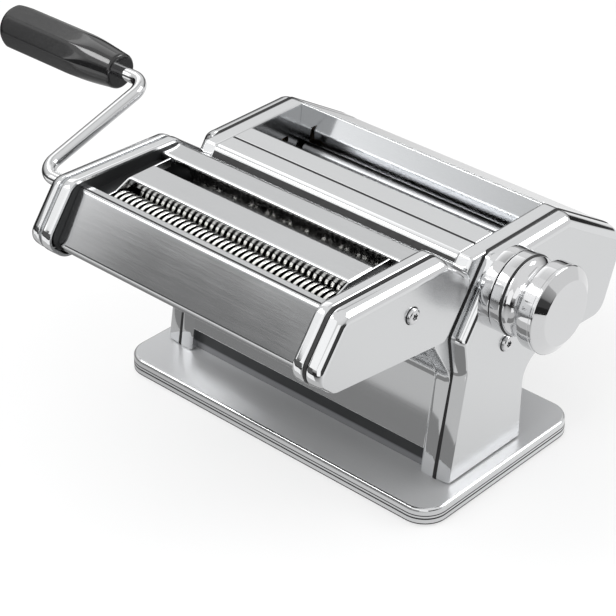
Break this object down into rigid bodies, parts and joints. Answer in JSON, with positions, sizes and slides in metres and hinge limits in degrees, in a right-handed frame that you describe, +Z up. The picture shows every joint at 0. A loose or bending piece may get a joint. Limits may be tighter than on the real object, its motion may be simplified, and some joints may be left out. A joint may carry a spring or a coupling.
{
  "type": "pasta roller machine",
  "caption": "Hand-cranked pasta roller machine on a flat base, with a thickness knob, a lift-off cutter attachment and a crank with a black grip.",
  "frame": {"origin": "centre of the base in plan, at the table", "axes": "+X across the machine towards the knob, +Y from the cutter to the rear, +Z up"},
  "size_m": [0.4001, 0.2491, 0.1728],
  "materials": {
    "polished_chrome": "pressed steel, polished and chromed to a mirror",
    "base_steel": "chromed sheet steel",
    "stainless_sheet": "cold-rolled stainless sheet, grain along its length",
    "dark_sheet": "sheet steel in a dark recess",
    "black_rubber": "moulded rubber, matt",
    "white_acetal": "moulded acetal",
    "bronze": "sintered bronze",
    "roller_aluminium": "anodised aluminium, turned",
    "cutter_steel": "nickel-plated steel, turned",
    "knob_chrome": "turned steel, polished and chromed",
    "black_plastic": "moulded, glossy black",
    "screw_steel": "bright steel",
    "plain_steel": "zinc-plated steel"
  },
  "bodies": {
    "machine": {"base_plate": "base_steel", "rubber_feet": "black_rubber", "clamp_socket": "plain_steel", "frame_left": "plain_steel", "frame_right": "plain_steel", "frame_rods": "plain_steel", "front_sheet": "stainless_sheet", "front_skirt": "dark_sheet", "top_plate": "stainless_sheet", "hopper_plate": "stainless_sheet", "rear_casing": "stainless_sheet", "side_rim_left": "polished_chrome", "side_rim_right": "polished_chrome", "side_cover_left": "polished_chrome", "side_cover_right": "polished_chrome", "cover_standoffs": "plain_steel", "cover_screws": "screw_steel", "roller_bushes": "bronze", "regulator_bushes": "bronze", "rear_scraper": "white_acetal", "index_ring": "knob_chrome", "cutter_brackets": "plain_steel", "block_springs": "plain_steel"},
    "regulator": {"regulator_shaft": "plain_steel", "regulator_cams": "plain_steel", "shaft_collar": "plain_steel", "shaft_key": "plain_steel", "knob_spring": "plain_steel"},
    "knob": {"knob_body": "knob_chrome", "knob_cap": "knob_chrome", "index_pin": "plain_steel"},
    "carriage": {"bearing_blocks": "bronze", "front_scraper": "white_acetal"},
    "front_roller": {"front_roller": "roller_aluminium", "front_roller_gear": "plain_steel"},
    "rear_roller": {"rear_roller": "roller_aluminium", "rear_roller_gear": "plain_steel"},
    "cutter": {"cutter_plate_left": "plain_steel", "cutter_plate_right": "plain_steel", "cutter_cap_left": "polished_chrome", "cutter_cap_right": "polished_chrome", "cutter_front_panel": "stainless_sheet", "cutter_mid_guide": "stainless_sheet", "cutter_side_guides": "stainless_sheet", "cutter_rear_panel": "stainless_sheet", "cutter_combs": "cutter_steel", "cutter_rods": "plain_steel", "cutter_screws": "screw_steel", "cutter_sockets": "plain_steel"},
    "narrow_drive": {"narrow_drive_roller": "cutter_steel", "narrow_drive_gear": "plain_steel"},
    "narrow_driven": {"narrow_driven_roller": "cutter_steel", "narrow_driven_gear": "plain_steel"},
    "wide_drive": {"wide_drive_roller": "cutter_steel", "wide_drive_gear": "plain_steel"},
    "wide_driven": {"wide_driven_roller": "cutter_steel", "wide_driven_gear": "plain_steel"},
    "crank": {"crank_rod": "knob_chrome", "grip_clip": "plain_steel"},
    "grip": {"crank_grip": "black_plastic"}
  },
  "joints": [
    {"name": "cutter_lift", "type": "slide", "parent": "machine", "child": "cutter", "axis": [0, 0, 1], "range_m": [0, 0.04]},
    {"name": "regulator_turn", "type": "hinge", "parent": "machine", "child": "regulator", "pos_m": [0, 0.0024, 0.1182], "axis": [1, 0, 0], "range_deg": [0, 180]},
    {"name": "knob_pull", "type": "slide", "parent": "regulator", "child": "knob", "axis": [1, 0, 0], "range_m": [0, 0.005], "stiffness_N_per_m": 600, "springref_m": -0.004, "deforming": ["knob_spring"]},
    {"name": "roller_gap", "type": "slide", "parent": "machine", "child": "carriage", "axis": [0, 1, 0], "range_m": [0, 0.0042], "deforming": ["block_springs"]},
    {"name": "rear_roller_spin", "type": "hinge", "parent": "machine", "child": "rear_roller", "pos_m": [0, 0.0658, 0.098], "axis": [1, 0, 0], "continuous": true},
    {"name": "front_roller_spin", "type": "hinge", "parent": "carriage", "child": "front_roller", "pos_m": [0, 0.027, 0.098], "axis": [1, 0, 0], "continuous": true},
    {"name": "narrow_drive_spin", "type": "hinge", "parent": "cutter", "child": "narrow_drive", "pos_m": [0, -0.098, 0.1343], "axis": [1, 0, 0], "continuous": true},
    {"name": "narrow_driven_spin", "type": "hinge", "parent": "cutter", "child": "narrow_driven", "pos_m": [0, -0.076, 0.1343], "axis": [1, 0, 0], "continuous": true},
    {"name": "wide_drive_spin", "type": "hinge", "parent": "cutter", "child": "wide_drive", "pos_m": [0, -0.059, 0.1195], "axis": [1, 0, 0], "continuous": true},
    {"name": "wide_driven_spin", "type": "hinge", "parent": "cutter", "child": "wide_driven", "pos_m": [0, -0.0432, 0.1195], "axis": [1, 0, 0], "continuous": true},
    {"name": "crank_pull", "type": "slide", "parent": "narrow_drive", "child": "crank", "axis": [-1, 0, 0], "range_m": [0, 0.04]},
    {"name": "grip_spin", "type": "hinge", "parent": "crank", "child": "grip", "pos_m": [-0.1985, -0.01611, 0.15887], "axis": [1, 0, 0], "continuous": true}
  ],
  "couplings": [
    {"joint": "regulator_turn", "follows": "roller_gap", "rad_per_m": 748},
    {"joint": "front_roller_spin", "follows": "rear_roller_spin", "ratio": -1},
    {"joint": "narrow_driven_spin", "follows": "narrow_drive_spin", "ratio": -1},
    {"joint": "wide_driven_spin", "follows": "wide_drive_spin", "ratio": -1}
  ]
}
